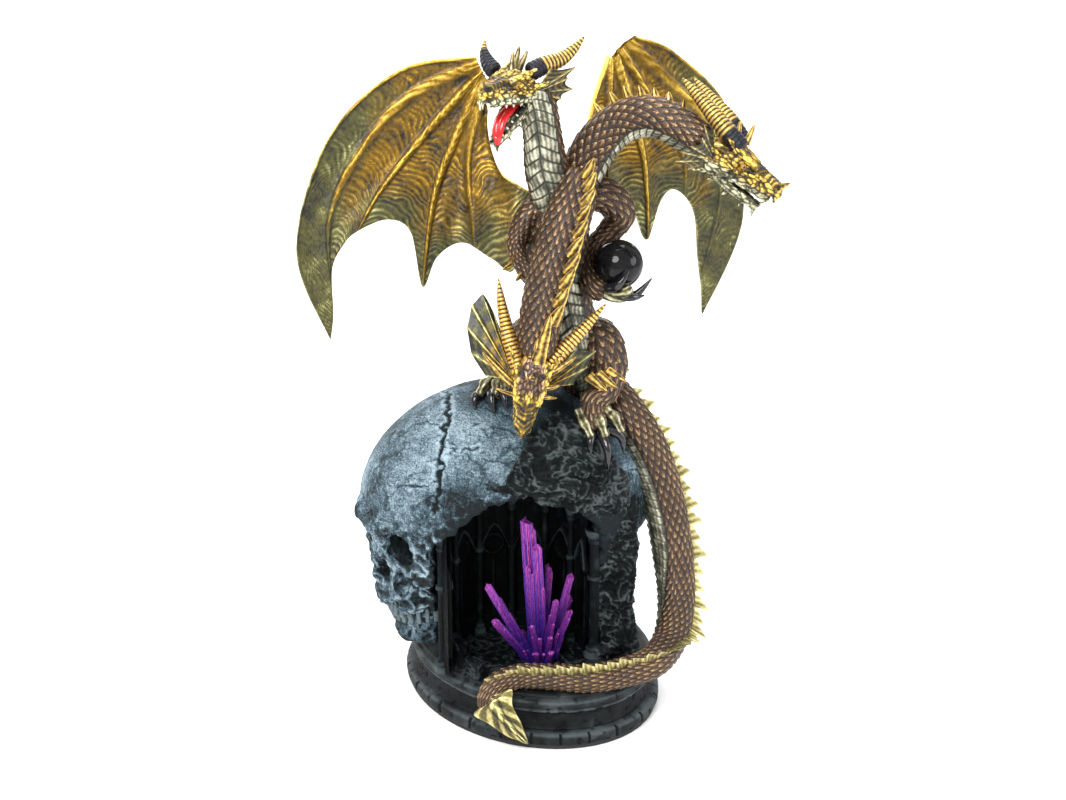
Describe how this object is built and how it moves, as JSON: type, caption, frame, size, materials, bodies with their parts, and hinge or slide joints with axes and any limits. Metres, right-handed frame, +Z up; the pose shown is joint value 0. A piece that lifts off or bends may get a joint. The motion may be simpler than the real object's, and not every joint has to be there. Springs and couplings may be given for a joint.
{
  "type": "dragon statue",
  "caption": "Three-headed dragon statue perched on a hollowed skull with a crystal grotto, on an oval plinth, with wings that plug in.",
  "frame": {"origin": "centre of the plinth's underside, on the table", "axes": "+Z up; the skull's face looks along -X and the grotto opens along -Y"},
  "size_m": [0.2677, 0.1864, 0.4004],
  "materials": {
    "plinth": "dark stone-painted cast resin",
    "bottom_cover": "black moulded plastic",
    "cover_screws": "zinc-plated steel",
    "foam_pad": "black EVA foam",
    "battery_box": "black moulded plastic",
    "battery_door": "black moulded plastic",
    "batteries": "plain copper-coloured cell sleeve",
    "battery_contacts": "nickel-plated steel",
    "switch_body": "black moulded plastic",
    "switch_slider": "grey moulded plastic",
    "led_board": "green lacquered board",
    "leds": "clear epoxy",
    "light_window": "milky translucent plastic",
    "lead_wires": "insulated wire",
    "skull": "blue-grey dry-brushed cast resin",
    "lower_jaw": "blue-grey dry-brushed cast resin",
    "skull_teeth": "bone-painted cast resin",
    "rock_brim": "dark grey-green rock paint on cast resin",
    "rock_pillar": "dark grey-green rock paint on cast resin",
    "rear_rock": "dark grey-green rock paint on cast resin",
    "grotto_wall": "dark grey-green rock paint on cast resin",
    "grotto_columns": "dark grey-green rock paint on cast resin",
    "grotto_floor": "dark grey-green rock paint on cast resin",
    "grotto_stairs": "dark grey-green rock paint on cast resin",
    "crystals": "translucent purple resin with a metallic wash",
    "torso": "bronze-brown metallic paint on cast resin",
    "wing_sockets": "cast resin sleeve, bronze paint",
    "left_leg": "bronze-brown metallic paint on cast resin",
    "right_leg": "bronze-brown metallic paint on cast resin",
    "foot_claws": "glossy black paint on cast resin",
    "left_arm": "antique-gold metallic paint on cast resin",
    "right_arm": "bronze-brown metallic paint on cast resin",
    "hand_claws": "glossy black paint on cast resin",
    "orb": "glossy black",
    "left_neck": "bronze-brown metallic paint on cast resin",
    "centre_neck": "bronze-brown metallic paint on cast resin",
    "right_neck": "bronze-brown metallic paint on cast resin",
    "neck_spines": "antique-gold metallic paint on cast resin",
    "left_head": "antique-gold metallic paint on cast resin",
    "left_head_jaw": "antique-gold metallic paint on cast resin",
    "left_head_tongue": "glossy red paint",
    "left_head_teeth": "ivory-white gloss paint",
    "left_head_horns": "antique-gold metallic paint on cast resin",
    "left_head_frills": "silver-olive metallic paint on cast resin",
    "centre_head": "antique-gold metallic paint on cast resin",
    "centre_head_horns": "antique-gold metallic paint on cast resin",
    "centre_head_frills": "antique-gold metallic paint on cast resin",
    "right_head": "antique-gold metallic paint on cast resin",
    "right_head_horns": "antique-gold metallic paint on cast resin",
    "right_head_frills": "silver-olive metallic paint on cast resin",
    "eyes": "ivory-white gloss paint",
    "tail": "bronze-brown metallic paint on cast resin",
    "tail_spines": "antique-gold metallic paint on cast resin",
    "tail_tip": "antique-gold metallic paint on cast resin",
    "left_wing": "antique-gold metallic paint on cast resin",
    "left_wing_peg": "steel pin with a painted collar",
    "right_wing": "antique-gold metallic paint on cast resin",
    "right_wing_peg": "steel pin with a painted collar"
  },
  "bodies": {
    "statue": {"plinth": "plinth", "bottom_cover": "bottom_cover", "cover_screws": "cover_screws", "foam_pad": "foam_pad", "battery_box": "battery_box", "batteries": "batteries", "battery_contacts": "battery_contacts", "switch_body": "switch_body", "led_board": "led_board", "leds": "leds", "light_window": "light_window", "lead_wires": "lead_wires", "skull": "skull", "lower_jaw": "lower_jaw", "skull_teeth": "skull_teeth", "rock_brim": "rock_brim", "rock_pillar": "rock_pillar", "rear_rock": "rear_rock", "grotto_wall": "grotto_wall", "grotto_columns": "grotto_columns", "grotto_floor": "grotto_floor", "grotto_stairs": "grotto_stairs", "crystals": "crystals", "torso": "torso", "wing_sockets": "wing_sockets", "left_leg": "left_leg", "right_leg": "right_leg", "foot_claws": "foot_claws", "left_arm": "left_arm", "right_arm": "right_arm", "hand_claws": "hand_claws", "orb": "orb", "left_neck": "left_neck", "centre_neck": "centre_neck", "right_neck": "right_neck", "neck_spines": "neck_spines", "left_head": "left_head", "left_head_jaw": "left_head_jaw", "left_head_tongue": "left_head_tongue", "left_head_teeth": "left_head_teeth", "left_head_horns": "left_head_horns", "left_head_frills": "left_head_frills", "centre_head": "centre_head", "centre_head_horns": "centre_head_horns", "centre_head_frills": "centre_head_frills", "right_head": "right_head", "right_head_horns": "right_head_horns", "right_head_frills": "right_head_frills", "eyes": "eyes", "tail": "tail", "tail_spines": "tail_spines", "tail_tip": "tail_tip"},
    "left_wing": {"left_wing": "left_wing", "left_wing_peg": "left_wing_peg"},
    "right_wing": {"right_wing": "right_wing", "right_wing_peg": "right_wing_peg"},
    "battery_door": {"battery_door": "battery_door"},
    "switch_slider": {"switch_slider": "switch_slider"}
  },
  "joints": [
    {"name": "left_wing_pull", "type": "slide", "parent": "statue", "child": "left_wing", "axis": [-0.7202, 0.3301, 0.6102], "range_m": [0, 0.012]},
    {"name": "right_wing_pull", "type": "slide", "parent": "statue", "child": "right_wing", "axis": [0.6991, 0.2996, 0.6492], "range_m": [0, 0.012]},
    {"name": "battery_door_slide", "type": "slide", "parent": "statue", "child": "battery_door", "axis": [0, 1, 0], "range_m": [0, 0.03]},
    {"name": "switch_slide", "type": "slide", "parent": "statue", "child": "switch_slider", "axis": [1, 0, 0], "range_m": [0, 0.004]}
  ]
}
